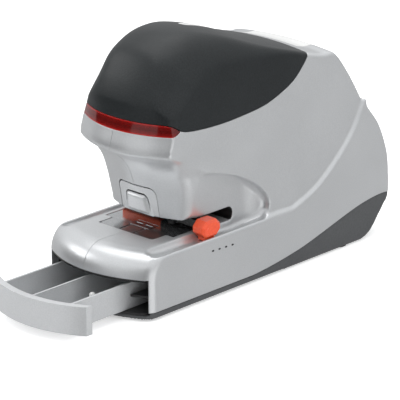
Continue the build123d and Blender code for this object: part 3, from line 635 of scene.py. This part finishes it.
def paint_light_by_height(mat, z0, z1, stops):
    """Base colour that runs through stops between two heights: painted light, such as painted highlights
    on a lens's edges.
    """
    nodes, links = mat.node_tree.nodes, mat.node_tree.links
    shader = nodes["Principled BSDF"]
    place = nodes.new("ShaderNodeTexCoord")
    parts = nodes.new("ShaderNodeSeparateXYZ")
    span = nodes.new("ShaderNodeMapRange")
    span.inputs["From Min"].default_value = z0
    span.inputs["From Max"].default_value = z1
    ramp = nodes.new("ShaderNodeValToRGB")
    while len(ramp.color_ramp.elements) < len(stops):
        ramp.color_ramp.elements.new(0.5)
    for element, (at, colour) in zip(ramp.color_ramp.elements, stops):
        element.position = at
        element.color = (*colour, 1)
    links.new(place.outputs["Object"], parts.inputs[0])
    links.new(parts.outputs["Z"], span.inputs["Value"])
    links.new(span.outputs["Result"], ramp.inputs["Fac"])
    mix = nodes.new("ShaderNodeMix")
    mix.data_type = "RGBA"
    mix.inputs[0].default_value = 0.8
    links.new(shader.inputs["Base Color"].links[0].from_socket, mix.inputs[6])
    links.new(ramp.outputs["Color"], mix.inputs[7])
    links.new(mix.outputs[2], shader.inputs["Base Color"])


def paint_shade_inside(mat, lo, hi, colour):
    """Painted shade: near-black colour, without metal, inside a box in the row frame, such as the depth
    of the paper throat.
    """
    nodes, links = mat.node_tree.nodes, mat.node_tree.links
    shader = nodes["Principled BSDF"]
    place = nodes.new("ShaderNodeTexCoord")
    total = None
    parts = nodes.new("ShaderNodeSeparateXYZ")
    links.new(place.outputs["Object"], parts.inputs[0])
    for axis in range(3):
        centre, half = (lo[axis] + hi[axis]) / 2, (hi[axis] - lo[axis]) / 2
        near = nodes.new("ShaderNodeMath")
        near.operation = "COMPARE"
        near.inputs[1].default_value = centre
        near.inputs[2].default_value = half
        links.new(parts.outputs[axis], near.inputs[0])
        if total is None:
            total = near.outputs[0]
        else:
            both = nodes.new("ShaderNodeMath")
            both.operation = "MULTIPLY"
            links.new(total, both.inputs[0])
            links.new(near.outputs[0], both.inputs[1])
            total = both.outputs[0]
    mix = nodes.new("ShaderNodeMix")
    mix.data_type = "RGBA"
    links.new(total, mix.inputs[0])
    links.new(shader.inputs["Base Color"].links[0].from_socket, mix.inputs[6])
    mix.inputs[7].default_value = (*colour, 1)
    links.new(mix.outputs[2], shader.inputs["Base Color"])
    less = nodes.new("ShaderNodeMapRange")
    less.inputs["To Min"].default_value = shader.inputs["Metallic"].default_value
    less.inputs["To Max"].default_value = 0.0
    links.new(total, less.inputs["Value"])
    links.new(less.outputs["Result"], shader.inputs["Metallic"])


def paint(obj, mat):
    obj.data.materials.clear()
    obj.data.materials.append(mat)


silver = grain("silver_paint", (0.56, 0.57, 0.58), (0.64, 0.65, 0.66), 0.31, 1500, 0.05,
               metal=0.65, edge=0.0006, Coat_Weight=0.3, Coat_Roughness=0.2)
dark = grain("dark_textured", (0.009, 0.011, 0.012), (0.017, 0.020, 0.0215), 0.38, 1100, 0.3,
             spread=0.04, edge=0.0005, dent=0.0003, Specular_IOR_Level=0.34)
red = grain("red_lens", (0.30, 0.004, 0.003), (0.50, 0.012, 0.006), 0.12, 300, 0.02, edge=0.0005,
            Coat_Weight=0.6, Transmission_Weight=0.25)
# Painted highlights: the lens's lower and upper edges are painted bright red, its middle a darker red.
paint_light_by_height(red, 0.1084, 0.1155, [(0.0, (0.66, 0.02, 0.015)), (0.12, (0.14, 0.003, 0.003)),
                                      (0.45, (0.03, 0.001, 0.001)), (0.8, (0.09, 0.002, 0.002)),
                                      (1.0, (0.55, 0.015, 0.012))])
pale = grain("pale_plastic", (0.66, 0.66, 0.65), (0.74, 0.74, 0.73), 0.38, 900, 0.05)
base_grey = grain("base_grey", (0.052, 0.054, 0.057), (0.074, 0.077, 0.080), 0.45, 900, 0.25)
black = grain("black_plastic", (0.010, 0.010, 0.011), (0.022, 0.022, 0.023), 0.42, 900, 0.15)
rubber = grain("black_rubber", (0.012, 0.012, 0.012), (0.024, 0.024, 0.024), 0.75, 700, 0.3)
plate = grain("polished_plate", (0.40, 0.41, 0.42), (0.52, 0.53, 0.54), 0.14, 500, 0.03, metal=0.95,
              stretch=(1, 9, 1))
steel = grain("hard_steel", (0.30, 0.30, 0.31), (0.44, 0.44, 0.45), 0.24, 700, 0.06, metal=1.0,
              stretch=(8, 1, 1))
zinc = grain("plated_steel", (0.42, 0.42, 0.41), (0.56, 0.56, 0.55), 0.33, 500, 0.08, metal=1.0)
cast = grain("cast_grey", (0.10, 0.10, 0.11), (0.16, 0.16, 0.17), 0.5, 600, 0.3, metal=0.6)
orange = grain("orange_plastic", (0.68, 0.065, 0.018), (0.80, 0.095, 0.028), 0.28, 600, 0.04,
               edge=0.0006, Subsurface_Weight=0.15, Subsurface_Radius=(0.004, 0.001, 0.0006),
               Subsurface_Scale=1.0, Coat_Weight=0.3)
satin = grain("satin_silver", (0.56, 0.57, 0.58), (0.64, 0.65, 0.66), 0.30, 1200, 0.04, metal=0.45)
white = grain("gear_white", (0.62, 0.60, 0.55), (0.72, 0.70, 0.66), 0.40, 600, 0.05)
bronze = grain("bearing_bronze", (0.38, 0.22, 0.09), (0.52, 0.32, 0.14), 0.35, 600, 0.08, metal=1.0)
green = grain("board_green", (0.012, 0.10, 0.035), (0.02, 0.15, 0.05), 0.35, 300, 0.05)
clear_led = grain("led_body", (0.75, 0.72, 0.70), (0.85, 0.80, 0.78), 0.15, 400, 0.02)

# Painted shade: the depth of the paper throat is painted near-black in the silver paint.
throat_lo = [-0.0326, (56 + Y_SHIFT) * S, 0.0417]
throat_hi = [0.0326, (83 + Y_SHIFT) * S, 0.0502]
paint_shade_inside(silver, throat_lo, throat_hi, (0.012, 0.012, 0.012))

SLOT_LOOKS = {"silver_paint": silver, "drawer_silver": satin, "dark_cover": dark,
              "pale_plastic": pale, "red_lens": red, "dark_base": base_grey, "black_plastic": black,
              "rubber": rubber, "polished_plate": plate, "hard_steel": steel, "cast_support": cast,
              "orange_clear": orange, "magazine_silver": satin, "magazine_steel": zinc,
              "pusher_plastic": black, "spring_steel": steel, "frame_steel": zinc,
              "screw_steel": steel, "gear_plastic": white, "bearing_bronze": bronze,
              "motor_can": zinc, "circuit_green": green, "circuit_parts": black,
              "led_clear": clear_led}
# Painted shade: the depth stop's bar is painted near-black on its right-hand stretch, where it lies in
# shade under the nose.
bar_with_painted_shade = grain("orange_bar", (0.78, 0.085, 0.022), (0.90, 0.125, 0.035), 0.28, 600, 0.04, edge=0.0006)
paint_shade_inside(bar_with_painted_shade, [0.001, -1, 0], [0.0338, 1, 1], (0.010, 0.010, 0.010))
node_slot = {s["node"]: s["material_slot"] for s in frame["record"]["subparts"]}
for name, obj in frame["nodes"].items():
    paint(obj, SLOT_LOOKS[node_slot[name]])
paint(frame["nodes"]["depth_stop_bar"], bar_with_painted_shade)
paint(frame["nodes"]["trigger_lever"], black)
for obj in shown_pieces():
    if "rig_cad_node" not in obj:
        paint(obj, SLOT_LOOKS[obj["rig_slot"]])


# ---------------------------------------------------------------- floor, light, camera
def plane(name, half, z, mat):
    corners = [(-half, -half, z), (half, -half, z), (half, half, z), (-half, half, z)]
    obj = mesh_object(name, corners, [(0, 1, 2, 3)])
    paint(obj, mat)
    return obj


# The floor glows a little, and reflections do not see it.
floor_mat, *_ = material("floor_white", (0.80, 0.80, 0.80), 0.75,
                         Emission_Color=(1, 1, 1, 1), Emission_Strength=0.45)
ground = plane("floor", 8.0, -0.0001, floor_mat)
ground.visible_glossy = False


def soft_box(name, at, aim, size, power, shine=True):
    """Area light at a place, aimed at another. Without shine, reflections do not see it."""
    light = bpy.data.lights.new(name, "AREA")
    light.shape = "RECTANGLE"
    light.size, light.size_y = size
    light.energy = power
    obj = bpy.data.objects.new(name, light)
    obj.location = at
    direction = np.array(aim, float) - np.array(at, float)
    obj.rotation_euler = Vector(direction).to_track_quat("-Z", "Y").to_euler()
    obj.visible_glossy = shine
    bpy.context.scene.collection.objects.link(obj)
    return obj


MIDDLE = (0, 0, 0.08)
soft_box("top_box", (-0.2, 0.1, 1.7), MIDDLE, (1.8, 1.8), 15)
soft_box("right_box", (1.6, 0.5, 0.8), MIDDLE, (1.0, 1.0), 6, shine=False)
soft_box("left_box", (-1.4, -0.9, 0.8), MIDDLE, (0.8, 0.7), 4)
soft_box("front_box", (-0.5, -1.9, 1.1), MIDDLE, (1.2, 0.9), 7, shine=False)


def flag(name, centre, half_wide, z0, z1, glow=0.0):
    """Card that only reflections see, which draws a band on curves: dark, or bright if it glows.
    Reflections do not see the floor, so a card may reach below it."""
    x, y = centre
    out = math.hypot(x, y)
    tx, ty = -y / out * half_wide, x / out * half_wide
    corners = [(x - tx, y - ty, z0), (x + tx, y + ty, z0), (x + tx, y + ty, z1), (x - tx, y - ty, z1)]
    obj = mesh_object(name, corners, [(0, 1, 2, 3)])
    paint(obj, material(name, (0.02, 0.02, 0.02), 1.0,
                        Emission_Color=(1, 1, 1, 1), Emission_Strength=glow)[0])
    obj.visible_camera = False
    obj.visible_diffuse = False
    obj.visible_shadow = False


flag("flag_left", (-0.62, -0.62), 0.42, -0.15, 0.30)
flag("flag_right", (0.30, -0.52), 0.22, -0.30, 0.30)
flag("card_right", (0.64, -0.10), 0.27, -0.35, 0.05, 1.1)

world = bpy.data.worlds.new("studio")
bpy.context.scene.world = world
world.use_nodes = True
sky, wire = world.node_tree.nodes, world.node_tree.links
where = sky.new("ShaderNodeTexCoord")
split = sky.new("ShaderNodeSeparateXYZ")
fade = sky.new("ShaderNodeValToRGB")
fade.color_ramp.elements[0].position = 0.06
fade.color_ramp.elements[0].color = (0.50, 0.503, 0.508, 1)
fade.color_ramp.elements[1].position = 0.5
fade.color_ramp.elements[1].color = (1.0, 1.01, 1.02, 1)
wire.new(where.outputs["Generated"], split.inputs[0])
wire.new(split.outputs["Z"], fade.inputs["Fac"])
wire.new(fade.outputs["Color"], sky["Background"].inputs["Color"])
sky["Background"].inputs["Strength"].default_value = 0.9

camera = bpy.data.objects.new("camera", bpy.data.cameras.new("camera"))
camera.data.sensor_width = 36
camera.data.lens = 227.8
camera.data.clip_end = 30
azimuth, elevation, distance = math.radians(43.6), math.radians(19.45), 1.584
target = (0, 0.00725, 0.04444)
camera.location = (target[0] + distance * math.sin(azimuth) * math.cos(elevation),
                   target[1] - distance * math.cos(azimuth) * math.cos(elevation),
                   target[2] + distance * math.sin(elevation))
camera.rotation_euler = (math.pi / 2 - elevation, 0, azimuth)
bpy.context.scene.collection.objects.link(camera)
bpy.context.scene.camera = camera
bpy.context.scene.view_settings.view_transform = "Standard"
